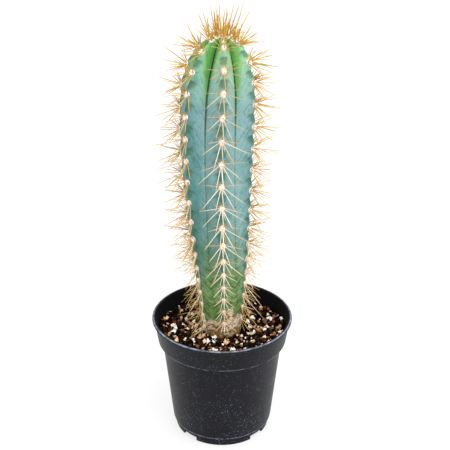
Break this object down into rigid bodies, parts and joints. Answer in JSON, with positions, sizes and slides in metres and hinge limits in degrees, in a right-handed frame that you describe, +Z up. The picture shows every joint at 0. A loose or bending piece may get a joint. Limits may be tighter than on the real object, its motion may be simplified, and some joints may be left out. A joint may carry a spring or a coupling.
{
  "type": "potted tall cactus",
  "caption": "Tall ribbed columnar cactus with rows of golden spines, standing in potting mix in a round black plastic nursery pot.",
  "frame": {"origin": "middle of the pot's foot, on the ground", "axes": "+Z up along the pot's axis; -Y is the plant's front; +X to the right seen from the front"},
  "size_m": [0.12, 0.12, 0.3698],
  "materials": {
    "pot_plastic": "satin",
    "potting_mix": "matt",
    "stem_skin": "waxy satin",
    "spine": "satin"
  },
  "bodies": {
    "root": {"pot": "pot_plastic", "soil": "potting_mix", "stem": "stem_skin", "spine_row_1": "spine", "spine_row_2": "spine", "spine_row_3": "spine", "spine_row_4": "spine", "spine_row_5": "spine", "spine_row_6": "spine"}
  },
  "joints": []
}
